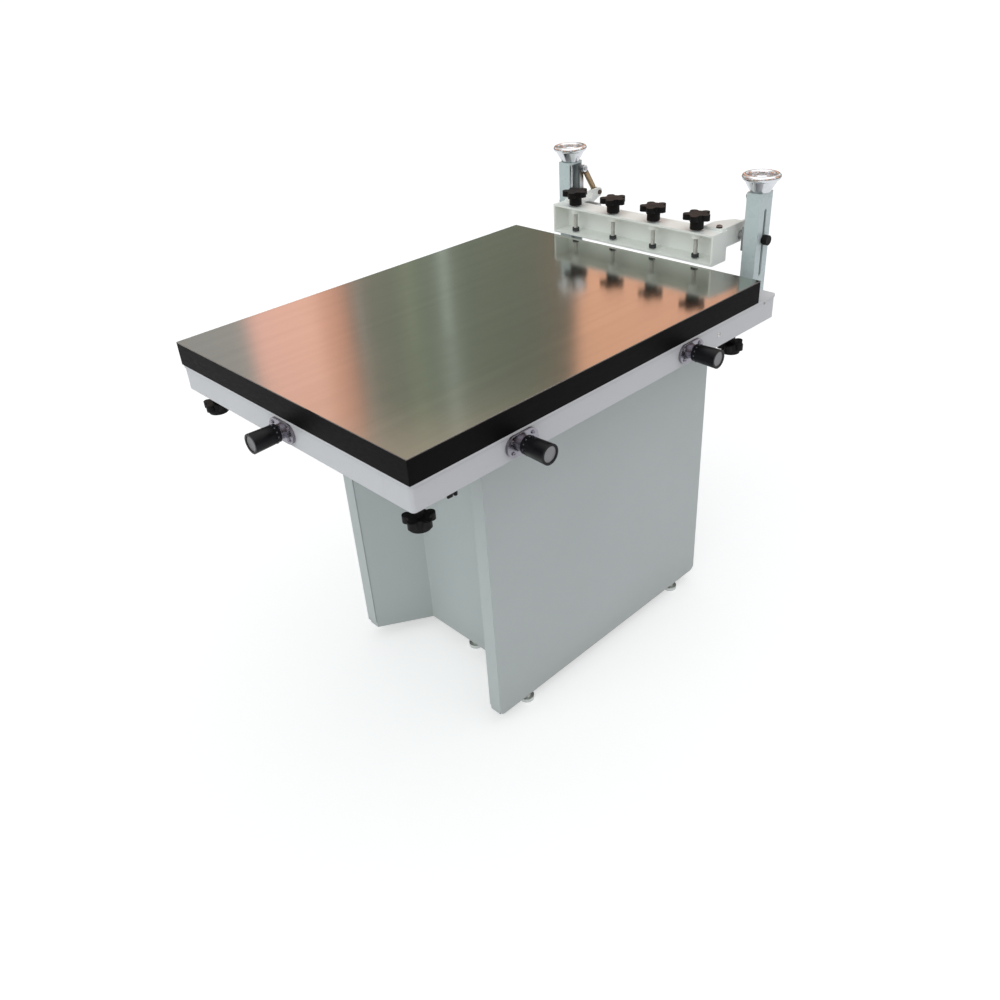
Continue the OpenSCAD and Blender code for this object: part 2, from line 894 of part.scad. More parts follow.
module grip_front() {
    in_frame() color(black) at_front() grip();
}

// A block nut on a side spindle, with the pin that pushes a yoke
module side_nut(y, pin_top) {
    in_frame() color(bronze)
        translate([nut_x, y, 0])
            difference() {
                union() {
                    block([-nut_w / 2, -nut_w / 2, bridge_top + slide_gap],
                        [nut_w / 2, nut_w / 2, y_slide_top]);
                    rod_z(nut_pin_r, y_slide_top - 1, pin_top);
                }
                translate([0, 0, spindle_z]) rod_x(spindle_r + bore_gap, -nut_w, nut_w);
            }
}

module nut_side_front() {
    side_nut(-side_front_y, x_slide_top);
}

module nut_side_rear() {
    side_nut(side_rear_y, core_z - 1);
}

// Lift

// A dished handwheel on its lifting screw, which climbs in the column's cap
module handwheel() {
    wheel_z = column_top + slide_gap;
    rim_c = wheel_rim / 2;
    rim_x = wheel_r - rim_c;
    rim_z = wheel_h - rim_c;
    bore = screw_r + bore_gap;
    translate([column_x, column_yc, 0]) {
        translate([0, 0, wheel_z])
            rotate_extrude() {
                polygon([[bore, 0], [wheel_foot_r, 0], [rim_x + rim_c / 3, rim_z - rim_c * 0.7],
                    [rim_x, rim_z], [wheel_dish_r, rim_z - rim_c / 3], [wheel_hub_r, wheel_h - 2],
                    [bore, wheel_h - 2]]);
                translate([rim_x, rim_z]) circle(r = rim_c);
            }
        rod_z(screw_r, pivot_z - slider_h / 2 - screw_tail, wheel_z + wheel_h);
    }
}

module handwheel_right() {
    in_frame() color(chrome) handwheel();
}

module handwheel_left() {
    in_frame() color(chrome) mirrored() handwheel();
}

// A slider in its column, with the pivot pin, the strut's post and its pin
module lift_slider() {
    x1 = column_out - column_wall - slide_gap;
    y0 = column_y0 + column_wall + slide_gap;
    y1 = column_y1 - column_wall - slide_gap;
    post_x0 = post_x1 - post_t;
    difference() {
        union() {
            block([post_x0, y0, pivot_z - slider_h / 2], [x1, y1, pivot_z + slider_h / 2]);
            block([post_x0, anchor_y - 6, pivot_z], [post_x1, anchor_y + 6, anchor_z]);
            translate([0, anchor_y, anchor_z]) rod_x(6, post_x0, post_x1);
            translate([0, anchor_y, anchor_z]) rod_x(strut_pin_r, strut_x - strut_eye_w / 2 - 2, post_x1);
            translate([0, pivot_y, pivot_z]) {
                rod_x(pivot_r, pivot_pin_x0, post_x1);
                rod_x(pivot_boss_r - 3, arm_x1 + 0.5, post_x0 + 1);
            }
        }
        translate([column_x, column_yc, 0]) rod_z(screw_r + bore_gap, pivot_z - slider_h, pivot_z + slider_h);
        translate([0, slot_y, pivot_z]) rod_x(column_stud_r + bore_gap, column_x + screw_r, column_out);
    }
}

module lift_slider_right() {
    in_frame() color(steel) lift_slider();
}

module lift_slider_left() {
    in_frame() color(steel) mirrored() lift_slider();
}

column_stud_r = 3;
column_knob_r = 9;

// The small knob that locks a slider, with its stud through the column's slot
module column_knob() {
    translate([0, slot_y, pivot_z]) {
        rod_x(column_stud_r, column_out - column_wall - 4, column_out + 5);
        rod_x(column_knob_r - 1, column_out + slide_gap, column_out + 2.5);
        rod_x(column_knob_r, column_out + 2, column_out + 12);
    }
}

module column_knob_right() {
    in_frame() color(black) column_knob();
}

module column_knob_left() {
    in_frame() color(black) mirrored() column_knob();
}

// Clamp beam, swing arms and struts

function clamp_x(i) = (i - (clamp_count - 1) / 2) * clamp_pitch;

module clamp_beam() {
    in_frame() color(paint)
        difference() {
            union() {
                difference() {
                    block([-beam_x, beam_y0, beam_z0], [beam_x, beam_y1, beam_z1]);
                    block([-beam_x + beam_wall, beam_y0 - cut, beam_floor_z],
                        [beam_x - beam_wall, beam_y1 - beam_wall, beam_z1 - beam_wall]);
                }
                for (i = [0 : clamp_count - 1])
                    translate([clamp_x(i), clamp_y, 0])
                        rod_z(boss_r, beam_z1 - beam_wall - boss_h, beam_z1 - 1);
            }
            for (i = [0 : clamp_count - 1])
                translate([clamp_x(i), clamp_y, 0])
                    rod_z(clamp_screw_r + bore_gap, beam_z1 - beam_wall - boss_h - cut, beam_z1 + cut);
        }
}

// The back edge of the arms' top plates
plate_y1 = pivot_y + 8;

// A swing arm's outline, seen from the side
module arm_outline() {
    web = beam_y1 + 0.1;
    difference() {
        union() {
            polygon([[web, beam_z0 + arm_rise], [web, arm_plate_z + arm_plate_t],
                [plate_y1, arm_plate_z + arm_plate_t], [lever_y, lever_z + lever_r],
                [lever_y, lever_z - lever_r], [pivot_y, pivot_z - pivot_boss_r]]);
            translate([pivot_y, pivot_z]) circle(r = pivot_boss_r);
            translate([lever_y, lever_z]) circle(r = lever_r);
        }
        translate([pivot_y, pivot_z]) circle(r = pivot_r + bore_gap);
    }
}

// An arm's top plate on the beam's rear edge, seen from above
module arm_plate_outline() {
    x0 = arm_x1 - arm_plate_w;
    polygon([[x0, beam_y1 - arm_lap], [arm_x1 - 1, beam_y1 - arm_lap], [arm_x1 - 1, plate_y1],
        [x0 + arm_plate_taper, plate_y1], [x0, beam_y1 + arm_plate_taper]]);
}

module swing_arms() {
    web = beam_y1 + 0.1;
    in_frame() color(paint)
        both_sides() {
            translate([arm_x0, 0, 0]) rotate([90, 0, 90]) linear_extrude(arm_t) arm_outline();
            block([arm_x1 - arm_foot_w, web, beam_z0 + arm_rise],
                [arm_x1 - 1, web + arm_t, beam_z1 + arm_plate_t]);
            translate([0, 0, arm_plate_z]) linear_extrude(arm_plate_t) arm_plate_outline();
            translate([arm_x1 - arm_lap, beam_y1 - arm_lap / 2, arm_plate_z + arm_plate_t - 1])
                hex(arm_bolt_hex, arm_bolt_h);
            translate([0, lever_y, lever_z])
                rod_x(strut_pin_r, arm_x1 - 1, strut_x + strut_eye_w / 2 + 2);
            translate([0, lever_y, lever_z])
                rod_x(lever_r, strut_x + strut_eye_w / 2 + slide_gap, strut_x + strut_eye_w / 2 + 2);
            translate([arm_x1 - arm_foot_w + arm_lap, web + arm_t - 1, (beam_z0 + arm_rise + beam_z1) / 2])
                rotate([-90, 0, 0]) hex(arm_bolt_hex, arm_bolt_h);
        }
}

// Places a strut drawn down from its upper pin
module at_strut() {
    translate([strut_x, anchor_y, anchor_z]) rotate([strut_tilt, 0, 0]) children();
}

module strut_rod() {
    at_strut()
        difference() {
            union() {
                rod_x(strut_eye_r, -strut_eye_w / 2, strut_eye_w / 2);
                rod_z(strut_rod_r, -strut_len + strut_neck_l + 3, -strut_pin_r - 1);
            }
            rod_x(strut_pin_r + bore_gap, -strut_eye_w, strut_eye_w);
        }
}

module strut_cylinder() {
    tail_r = strut_pin_r + strut_slack + 2;
    at_strut()
        difference() {
            union() {
                rod_z(strut_r, -strut_len + strut_neck_l, -strut_eye_r - 2);
                rod_z(strut_neck_r, -strut_len + tail_r - 1, -strut_len + strut_neck_l + 1);
                translate([0, 0, -strut_len]) rod_x(tail_r, -strut_eye_w / 2, strut_eye_w / 2);
            }
            rod_z(strut_rod_r + bore_gap, -strut_len + strut_neck_l + 2, 0);
            translate([0, 0, -strut_len]) rod_x(strut_pin_r + strut_slack, -strut_eye_w, strut_eye_w);
        }
}

module strut_rod_right() {
    in_frame() color(chrome) strut_rod();
}

module strut_rod_left() {
    in_frame() color(chrome) mirrored() strut_rod();
}

module strut_cylinder_right() {
    in_frame() color(bronze) strut_cylinder();
}

module strut_cylinder_left() {
    in_frame() color(bronze) mirrored() strut_cylinder();
}

// Clamp screws

module at_clamp(i) {
    in_frame() translate([clamp_x(i - 1), clamp_y, 0]) children();
}

module clamp_pad(i) {
    at_clamp(i) color(black)
        difference() {
            rod_z(clamp_pad_r, pad_z, pad_z + pad_h);
            rod_z(clamp_screw_r - 1 + bore_gap, pad_z + 2, pad_z + pad_h + cut);
        }
}

module clamp_screw(i) {
    at_clamp(i) color(steel) {
        rod_z(clamp_screw_r - 1, pad_z + 2 + 0.1, pad_z + pad_h + 1);
        rod_z(clamp_screw_r, pad_z + pad_h + 0.1, clamp_screw_top);
    }
}

module clamp_knob(i) {
    at_clamp(i) color(black)
        difference() {
            translate([0, 0, clamp_knob_z])
                star_knob(clamp_knob_r, clamp_hub_r, clamp_hub_h, clamp_head_h);
            rod_z(clamp_screw_r + bore_gap, clamp_knob_z - cut, clamp_screw_top + 0.1);
        }
}

module clamp_pad_1() { clamp_pad(1); }
module clamp_pad_2() { clamp_pad(2); }
module clamp_pad_3() { clamp_pad(3); }
module clamp_pad_4() { clamp_pad(4); }
module clamp_screw_1() { clamp_screw(1); }
module clamp_screw_2() { clamp_screw(2); }
module clamp_screw_3() { clamp_screw(3); }
module clamp_screw_4() { clamp_screw(4); }
module clamp_knob_1() { clamp_knob(1); }
module clamp_knob_2() { clamp_knob(2); }
module clamp_knob_3() { clamp_knob(3); }
module clamp_knob_4() { clamp_knob(4); }

pedestal_side_left();
pedestal_side_right();
pedestal_front_panel();
pedestal_back_panel();
pedestal_top_plate();
pedestal_floor_rails();
levelling_feet();
frame_front_rail();
frame_rear_rail();
frame_left_rail();
frame_right_rail();
slide_bridges();
adjuster_collars();
column_brackets();
column_left();
column_right();
assembly_bolts();
y_slide();
x_slide();
turn_plate();
table_core();
table_sheet();
table_brackets();
lock_knob_front_left();
lock_knob_front_right();
lock_knob_rear_left();
lock_knob_rear_right();
spindle_front();
grip_front();
spindle_side_front();
grip_side_front();
spindle_side_rear();
grip_side_rear();
nut_side_front();
nut_side_rear();
handwheel_left();
handwheel_right();
lift_slider_left();
lift_slider_right();
column_knob_left();
column_knob_right();
clamp_beam();
swing_arms();
strut_rod_left();
strut_cylinder_left();
strut_rod_right();
strut_cylinder_right();
clamp_pad_1();
clamp_screw_1();
clamp_knob_1();
clamp_pad_2();
clamp_screw_2();
clamp_knob_2();
clamp_pad_3();
clamp_screw_3();
clamp_knob_3();
clamp_pad_4();
clamp_screw_4();
clamp_knob_4();
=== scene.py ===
"""The looks of a manual screen printing machine: camera, studio, materials and small surface parts."""

import json
import math

import bpy
import bmesh
from mathutils import Matrix, Vector


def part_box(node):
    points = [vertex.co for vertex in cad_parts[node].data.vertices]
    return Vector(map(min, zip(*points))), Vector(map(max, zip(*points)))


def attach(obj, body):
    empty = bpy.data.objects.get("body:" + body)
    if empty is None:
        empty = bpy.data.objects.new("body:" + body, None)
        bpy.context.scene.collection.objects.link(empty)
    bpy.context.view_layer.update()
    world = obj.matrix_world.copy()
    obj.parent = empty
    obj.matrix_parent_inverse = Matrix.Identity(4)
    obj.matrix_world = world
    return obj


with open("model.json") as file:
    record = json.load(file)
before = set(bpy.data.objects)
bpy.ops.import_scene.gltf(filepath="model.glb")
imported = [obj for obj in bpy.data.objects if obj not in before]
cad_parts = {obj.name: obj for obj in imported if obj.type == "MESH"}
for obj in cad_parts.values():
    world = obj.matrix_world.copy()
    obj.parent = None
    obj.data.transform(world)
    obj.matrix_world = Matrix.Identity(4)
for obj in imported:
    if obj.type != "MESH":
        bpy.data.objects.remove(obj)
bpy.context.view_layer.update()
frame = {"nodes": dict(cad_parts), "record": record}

bpy.context.scene.view_settings.view_transform = "Standard"

MM = 0.001
NODES = frame["nodes"]

# The table's middle at its top, which the camera was placed from
TABLE_LOW, TABLE_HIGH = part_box("table_sheet")
TABLE_TOP = Vector(((TABLE_LOW.x + TABLE_HIGH.x) / 2, (TABLE_LOW.y + TABLE_HIGH.y) / 2, TABLE_HIGH.z))


def linear(red, green, blue):
    """The linear colour of a colour written in sRGB from 0 to 255."""
    def one(value):
        share = value / 255
        return share / 12.92 if share <= 0.04045 else ((share + 0.055) / 1.055) ** 2.4
    return (one(red), one(green), one(blue), 1.0)


# Camera

CAMERA_PLACE = Vector((1097.6, -971.9, 558.7)) * MM
CAMERA_TARGET = Vector((454.82, -388.26, 0.0)) * MM
CAMERA_ROLL = math.radians(-4.01)
CAMERA_LENS = 32.553


def add_camera():
    data = bpy.data.cameras.new("camera")
    data.sensor_fit = "HORIZONTAL"
    data.sensor_width = 36.0
    data.lens = CAMERA_LENS
    data.clip_end = 200.0
    forward = (CAMERA_TARGET - CAMERA_PLACE).normalized()
    right = forward.cross(Vector((0, 0, 1))).normalized()
    up = right.cross(forward)
    tilted_right = right * math.cos(CAMERA_ROLL) + up * math.sin(CAMERA_ROLL)
    tilted_up = up * math.cos(CAMERA_ROLL) - right * math.sin(CAMERA_ROLL)
    turn = Matrix((tilted_right, tilted_up, -forward)).transposed()
    camera = bpy.data.objects.new("camera", data)
    camera.matrix_world = Matrix.Translation(TABLE_TOP + CAMERA_PLACE) @ turn.to_4x4()
    bpy.context.scene.collection.objects.link(camera)
    bpy.context.scene.camera = camera


add_camera()


# Studio

# The colour sockets of a mix node, whose names are the same for each kind of value
MIX_A = 6
MIX_B = 7
MIX_RESULT = 2

WHITE = (1.0, 1.0, 1.0, 1.0)
WORLD_COLOUR = (0.96, 0.98, 1.0, 1.0)
WORLD_STRENGTH = 0.42
FLOOR_SIZE = 80.0
FLOOR_COLOUR = linear(205, 205, 205)
FLOOR_GLOW = 0.54

# The room around the machine, which only reflections show
ROOM_RADIUS = 6.0
ROOM_HEIGHT = 6.0
ROOM_SIDES = 120
ROOM_STRENGTH = 2.3
# Heights over which the room's dark foot gives way to the bands, and the bands to its plain top
ROOM_FOOT = (1.75, 2.2)
ROOM_FOOT_COLOUR = linear(110, 107, 103)
ROOM_TOP = (3.8, 4.4)
ROOM_TOP_COLOUR = linear(164, 150, 138)
ROOM_TOP_SHARE = 0.7
# Bands of colour by direction in degrees, which repeat round the room
ROOM_REPEATS = 5
ROOM_START = 104.0
ROOM_BANDS = (
    (104.0, (176, 178, 176)), (111.0, (150, 152, 148)), (113.5, (96, 97, 92)), (117.5, (102, 100, 94)),
    (118.5, (196, 146, 124)), (130.3, (200, 150, 125)), (131.1, (102, 93, 84)), (134.6, (93, 96, 85)),
    (139.8, (97, 102, 91)), (140.9, (104, 110, 100)), (141.3, (158, 166, 160)), (141.8, (104, 110, 101)),
    (143.4, (101, 107, 95)), (144.4, (116, 122, 104)), (145.2, (102, 106, 95)), (148.0, (107, 107, 97)),
    (148.5, (132, 129, 124)), (149.0, (124, 108, 98)), (149.9, (176, 130, 113)), (151.4, (198, 148, 130)),
    (152.3, (213, 165, 149)), (156.8, (212, 164, 152)), (157.9, (138, 136, 134)), (168.0, (135, 130, 130)),
    (171.0, (222, 226, 228)), (175.9, (216, 220, 222)),
)

# Far lamps: name, direction, strength, softness in degrees and colour
LAMPS = (
    ("key_lamp", (0.3, -3.4, 2.3), 0.84, 60.0, (0.90, 1.0, 0.98)),
    ("side_lamp", (3.6, -0.6, 2.2), 0.16, 60.0, (1.0, 0.96, 1.0)),
    ("top_lamp", (0.2, 0.6, 4.0), 0.87, 80.0, (1.0, 1.0, 1.0)),
)


def shown_rays(nodes, links):
    """1 for camera, glossy and transmission rays, which show the plain background."""
    path = nodes.new("ShaderNodeLightPath")
    first = nodes.new("ShaderNodeMath")
    first.operation = "MAXIMUM"
    second = nodes.new("ShaderNodeMath")
    second.operation = "MAXIMUM"
    links.new(path.outputs["Is Camera Ray"], first.inputs[0])
    links.new(path.outputs["Is Glossy Ray"], first.inputs[1])
    links.new(first.outputs[0], second.inputs[0])
    links.new(path.outputs["Is Transmission Ray"], second.inputs[1])
    return second.outputs[0]


def emptied(tree):
    """A node tree's nodes and links, once its own nodes are gone."""
    tree.nodes.clear()
    return tree.nodes, tree.links


def add_world():
    world = bpy.data.worlds.new("studio")
    bpy.context.scene.world = world
    world.use_nodes = True
    nodes, links = emptied(world.node_tree)
    out = nodes.new("ShaderNodeOutputWorld")
    mix = nodes.new("ShaderNodeMixShader")
    soft = nodes.new("ShaderNodeBackground")
    soft.inputs["Color"].default_value = WORLD_COLOUR
    soft.inputs["Strength"].default_value = WORLD_STRENGTH
    white = nodes.new("ShaderNodeBackground")
    white.inputs["Color"].default_value = WHITE
    white.inputs["Strength"].default_value = 1.0
    links.new(shown_rays(nodes, links), mix.inputs["Fac"])
    links.new(soft.outputs[0], mix.inputs[1])
    links.new(white.outputs[0], mix.inputs[2])
    links.new(mix.outputs[0], out.inputs["Surface"])


def add_floor():
    mesh = bpy.data.meshes.new("floor")
    half = FLOOR_SIZE / 2
    corners = [(-half, -half, 0), (half, -half, 0), (half, half, 0), (-half, half, 0)]
    mesh.from_pydata(corners, [], [(0, 1, 2, 3)])
    floor = bpy.data.objects.new("floor", mesh)
    bpy.context.scene.collection.objects.link(floor)
    material = bpy.data.materials.new("floor_paper")
    material.use_nodes = True
    nodes, links = emptied(material.node_tree)
    out = nodes.new("ShaderNodeOutputMaterial")
    mix = nodes.new("ShaderNodeMixShader")
    paper = nodes.new("ShaderNodeBsdfDiffuse")
    paper.inputs["Color"].default_value = FLOOR_COLOUR
    add = nodes.new("ShaderNodeAddShader")
    glow = nodes.new("ShaderNodeEmission")
    glow.inputs["Color"].default_value = WHITE
    glow.inputs["Strength"].default_value = FLOOR_GLOW
    links.new(paper.outputs[0], add.inputs[0])
    links.new(glow.outputs[0], add.inputs[1])
    links.new(shown_rays(nodes, links), mix.inputs["Fac"])
    links.new(paper.outputs[0], mix.inputs[1])
    links.new(add.outputs[0], mix.inputs[2])
    links.new(mix.outputs[0], out.inputs["Surface"])
    floor.data.materials.append(material)


def add_room():
    """A ring of wall with soft bands of colour, which only glossy rays see."""
    mesh = bpy.data.meshes.new("room")
    work = bmesh.new()
    radii = {"radius1": ROOM_RADIUS, "radius2": ROOM_RADIUS}
    bmesh.ops.create_cone(work, segments=ROOM_SIDES, depth=ROOM_HEIGHT, **radii)
    bmesh.ops.translate(work, verts=work.verts, vec=(0, 0, ROOM_HEIGHT / 2))
    work.to_mesh(mesh)
    work.free()
    room = bpy.data.objects.new("room", mesh)
    bpy.context.scene.collection.objects.link(room)
    room.visible_camera = False
    room.visible_diffuse = False
    room.visible_shadow = False
    room.visible_transmission = False
    material = bpy.data.materials.new("room_wall")
    material.use_nodes = True
    nodes, links = emptied(material.node_tree)
    place = nodes.new("ShaderNodeTexCoord")
    turn = nodes.new("ShaderNodeTexGradient")
    turn.gradient_type = "RADIAL"
    # The bands begin at ROOM_START and fill the ramp ROOM_REPEATS times in a turn
    scale = nodes.new("ShaderNodeMath")
    scale.operation = "MULTIPLY_ADD"
    scale.inputs[1].default_value = ROOM_REPEATS
    scale.inputs[2].default_value = -(ROOM_START / 360 + 0.5) * ROOM_REPEATS + ROOM_REPEATS
    wrap = nodes.new("ShaderNodeMath")
    wrap.operation = "FRACT"
    ramp = nodes.new("ShaderNodeValToRGB")
    # A new ramp has two stops already
    stops = ramp.color_ramp.elements
    for index, (angle, colour) in enumerate(ROOM_BANDS):
        share = (angle - ROOM_START) * ROOM_REPEATS / 360
        stop = stops[index] if index < 2 else stops.new(share)
        stop.position = share
        stop.color = linear(*colour)
    lift = nodes.new("ShaderNodeSeparateXYZ")
    low = nodes.new("ShaderNodeMapRange")
    low.inputs["From Min"].default_value, low.inputs["From Max"].default_value = ROOM_FOOT
    foot = nodes.new("ShaderNodeMix")
    foot.data_type = "RGBA"
    foot.inputs[MIX_A].default_value = ROOM_FOOT_COLOUR
    high = nodes.new("ShaderNodeMapRange")
    high.inputs["From Min"].default_value, high.inputs["From Max"].default_value = ROOM_TOP
    high.inputs["To Max"].default_value = ROOM_TOP_SHARE
    top = nodes.new("ShaderNodeMix")
    top.data_type = "RGBA"
    top.inputs[MIX_B].default_value = ROOM_TOP_COLOUR
    glow = nodes.new("ShaderNodeEmission")
    glow.inputs["Strength"].default_value = ROOM_STRENGTH
    out = nodes.new("ShaderNodeOutputMaterial")
    links.new(place.outputs["Object"], turn.inputs["Vector"])
    links.new(turn.outputs["Fac"], scale.inputs[0])
    links.new(scale.outputs[0], wrap.inputs[0])
    links.new(wrap.outputs[0], ramp.inputs["Fac"])
    links.new(place.outputs["Object"], lift.inputs[0])
    links.new(lift.outputs["Z"], low.inputs["Value"])
    links.new(low.outputs["Result"], foot.inputs[0])
    links.new(ramp.outputs["Color"], foot.inputs[MIX_B])
    links.new(lift.outputs["Z"], high.inputs["Value"])
    links.new(high.outputs["Result"], top.inputs[0])
    links.new(foot.outputs[MIX_RESULT], top.inputs[MIX_A])
    links.new(top.outputs[MIX_RESULT], glow.inputs["Color"])
    links.new(glow.outputs[0], out.inputs["Surface"])
    mesh.materials.append(material)


def add_lamp(name, direction, strength, softness, colour):
    """A far, soft lamp that shines from a direction."""
    data = bpy.data.lights.new(name, "SUN")
    data.energy = strength
    data.angle = math.radians(softness)
    data.color = colour
    lamp = bpy.data.objects.new(name, data)
    bpy.context.scene.collection.objects.link(lamp)
    lamp.matrix_world = Vector(direction).to_track_quat("Z", "Y").to_matrix().to_4x4()


add_world()
add_floor()
add_room()
for lamp_row in LAMPS:
    add_lamp(*lamp_row)


# Materials

BEVEL_SAMPLES = 6
FOLD_SAMPLES = 8


class Shader:
    """A node material with short calls for the nodes that the finishes share."""

    def __init__(self, name):
        self.material = bpy.data.materials.new(name)
        self.material.use_nodes = True
        self.tree = self.material.node_tree
        self.bsdf = self.tree.nodes["Principled BSDF"]
        self.place = self.node("ShaderNodeTexCoord").outputs["Object"]

    def node(self, kind, **settings):
        made = self.tree.nodes.new(kind)
        for key, value in settings.items():
            setattr(made, key, value)
        return made

    def link(self, source, target):
        self.tree.links.new(source, target)

    def put(self, value, target):
        """Links another node's output to an input, or sets the input to a constant."""
        if isinstance(value, bpy.types.NodeSocket):
            self.link(value, target)
        else:
            target.default_value = value

    def feed(self, node, **values):
        """Puts values into a node's inputs by name."""
        for key, value in values.items():
            self.put(value, node.inputs[key.replace("_", " ")])

    def surface(self, **values):
        self.feed(self.bsdf, **values)

    def stretched(self, scale):
        mapping = self.node("ShaderNodeMapping")
        self.link(self.place, mapping.inputs["Vector"])
        mapping.inputs["Scale"].default_value = scale
        return mapping.outputs["Vector"]

    def noise(self, scale, detail=2.0, rough=0.5, vector=None):
        made = self.node("ShaderNodeTexNoise")
        self.link(vector or self.place, made.inputs["Vector"])
        self.feed(made, Scale=scale, Detail=detail, Roughness=rough)
        return made.outputs["Fac"]

    def ramp(self, source, low, high, out_low=0.0, out_high=1.0):
        """Maps low..high to out_low..out_high."""
        made = self.node("ShaderNodeMapRange")
        self.link(source, made.inputs["Value"])
        self.feed(made, From_Min=low, From_Max=high, To_Min=out_low, To_Max=out_high)
        return made.outputs["Result"]

    def math(self, operation, first, second):
        made = self.node("ShaderNodeMath", operation=operation)
        for socket, value in zip(made.inputs, (first, second)):
            self.put(value, socket)
        return made.outputs[0]

    def blend(self, share, first, second):
        """A colour from first to second by share."""
        made = self.node("ShaderNodeMix", data_type="RGBA")
        for index, value in ((0, share), (MIX_A, first), (MIX_B, second)):
            self.put(value, made.inputs[index])
        return made.outputs[MIX_RESULT]

    def edges(self, radius, low, high):
        """1 along sharp edges, 0 on flat faces."""
        soft = self.node("ShaderNodeBevel", samples=BEVEL_SAMPLES)
        soft.inputs["Radius"].default_value = radius
        flat = self.node("ShaderNodeNewGeometry")
        dot = self.node("ShaderNodeVectorMath", operation="DOT_PRODUCT")
        self.link(soft.outputs["Normal"], dot.inputs[0])
        self.link(flat.outputs["Normal"], dot.inputs[1])
        away = self.math("SUBTRACT", 1.0, dot.outputs["Value"])
        return self.ramp(away, low, high)

    def folds(self, reach):
        """1 deep in a fold or under an overhang, 0 in the open."""
        open_share = self.node("ShaderNodeAmbientOcclusion", samples=FOLD_SAMPLES)
        open_share.inputs["Distance"].default_value = reach
        return self.ramp(open_share.outputs["AO"], 0.2, 0.95, 1.0, 0.0)

    def relief(self, layers, soft_edge=0.0):
        """Bumps from (height source, distance, strength) layers, on softly rounded edges if asked."""
        normal = None
        if soft_edge:
            edge = self.node("ShaderNodeBevel", samples=BEVEL_SAMPLES)
            edge.inputs["Radius"].default_value = soft_edge
            normal = edge.outputs["Normal"]
        for source, distance, strength in layers:
            bump = self.node("ShaderNodeBump")
            self.feed(bump, Strength=strength, Distance=distance, Height=source)
            if normal:
                self.link(normal, bump.inputs["Normal"])
            normal = bump.outputs["Normal"]
        self.link(normal, self.bsdf.inputs["Normal"])


# Painted shade: the olive-grey that powder coat darkens to in folds and under overhangs
FOLD_SHADE = linear(134, 133, 118)
SPECK = (0.35, 0.36, 0.37, 1)
# Lighter colour on thin powder-coat edges: partly worn paint, partly a painted highlight
WORN_EDGE_HIGHLIGHT = (0.84, 0.86, 0.87, 1)
# The stainless sheet's darker colour on every face that doesn't face up: its sides and underside
NOT_FACING_UP_COLOUR = linear(92, 86, 84)
# Paler arrises of the black laminate: partly scuffs, partly a painted highlight
SCUFFED_AND_HIGHLIT_CORE = linear(74, 62, 56)
SMEARED_CHROME = linear(150, 152, 156)
RUBBED_PLASTIC = linear(58, 55, 53)
# Heights of the finest bumps, and the pitch of the clamp screws' thread, in metres
PEEL_HEIGHT = 0.00006
GRAIN_HEIGHT = 0.00005
THREAD_PITCH = 0.0015


def powder_coat(name, colour, shade, roughness, fold_shading=0.45):
    """Pale powder coat: faint cloudiness, orange peel, thin edges lightened partly by wear and partly by a
    painted highlight, and painted shade near folds.
    """
    s = Shader(name)
    cloud = s.ramp(s.noise(3.5, 3.0), 0.3, 0.7)
    speck = s.ramp(s.noise(260.0, 2.0), 0.66, 0.74)
    tinted = s.blend(s.math("MULTIPLY", cloud, 0.5), colour, shade)
    specked = s.blend(s.math("MULTIPLY", speck, 0.10), tinted, SPECK)
    rub = s.math("MULTIPLY", s.edges(0.0012, 0.01, 0.12), s.ramp(s.noise(55.0, 3.0), 0.45, 0.62))
    # Edges lighten where the noise allows: partly wear, partly a painted highlight
    worn_and_highlit = s.blend(s.math("MULTIPLY", rub, 0.5), specked, WORN_EDGE_HIGHLIGHT)
    # Painted shade: darker and olive in folds and under overhangs, scaled by the last argument
    fold_shaded = s.blend(s.math("MULTIPLY", s.folds(0.12), fold_shading), worn_and_highlit, FOLD_SHADE)
    rough = s.ramp(s.noise(40.0, 3.0), 0.25, 0.75, roughness - 0.05, roughness + 0.07)
    s.surface(Base_Color=fold_shaded, Roughness=rough, Specular_IOR_Level=0.5)
    s.relief([(s.noise(620.0, 2.0), PEEL_HEIGHT, 0.35), (s.noise(9.0, 2.0), 0.0006, 0.12)], 0.0009)
    return s.material


def brushed_sheet(name, colour, shade):
    """Stainless sheet: fine lines along the table's depth, faint handling marks, a darker colour on every
    face that doesn't face up.
    """
    s = Shader(name)
    line = s.noise(1.0, 4.0, 0.65, s.stretched((900.0, 7.0, 60.0)))
    broad = s.noise(1.0, 2.0, 0.5, s.stretched((60.0, 1.5, 20.0)))
    smear = s.ramp(s.noise(5.0, 4.0, 0.6), 0.35, 0.75)
    tone = s.math("MULTIPLY", s.ramp(broad, 0.3, 0.7), 0.25)
    # Darker on every face that doesn't face up
    facing = s.node("ShaderNodeSeparateXYZ")
    s.link(s.node("ShaderNodeTexCoord").outputs["Normal"], facing.inputs[0])
    not_facing_up = s.ramp(facing.outputs["Z"], 0.2, 0.9, 1.0, 0.0)
    s.surface(Metallic=1.0, Base_Color=s.blend(not_facing_up, s.blend(tone, colour, shade), NOT_FACING_UP_COLOUR))
    rough = s.math("ADD", s.ramp(line, 0.25, 0.75, 0.085, 0.125), s.math("MULTIPLY", smear, 0.035))
    s.surface(Roughness=rough, Anisotropic=0.35)
    s.relief([(line, 0.000015, 0.25)], 0.0006)
    return s.material


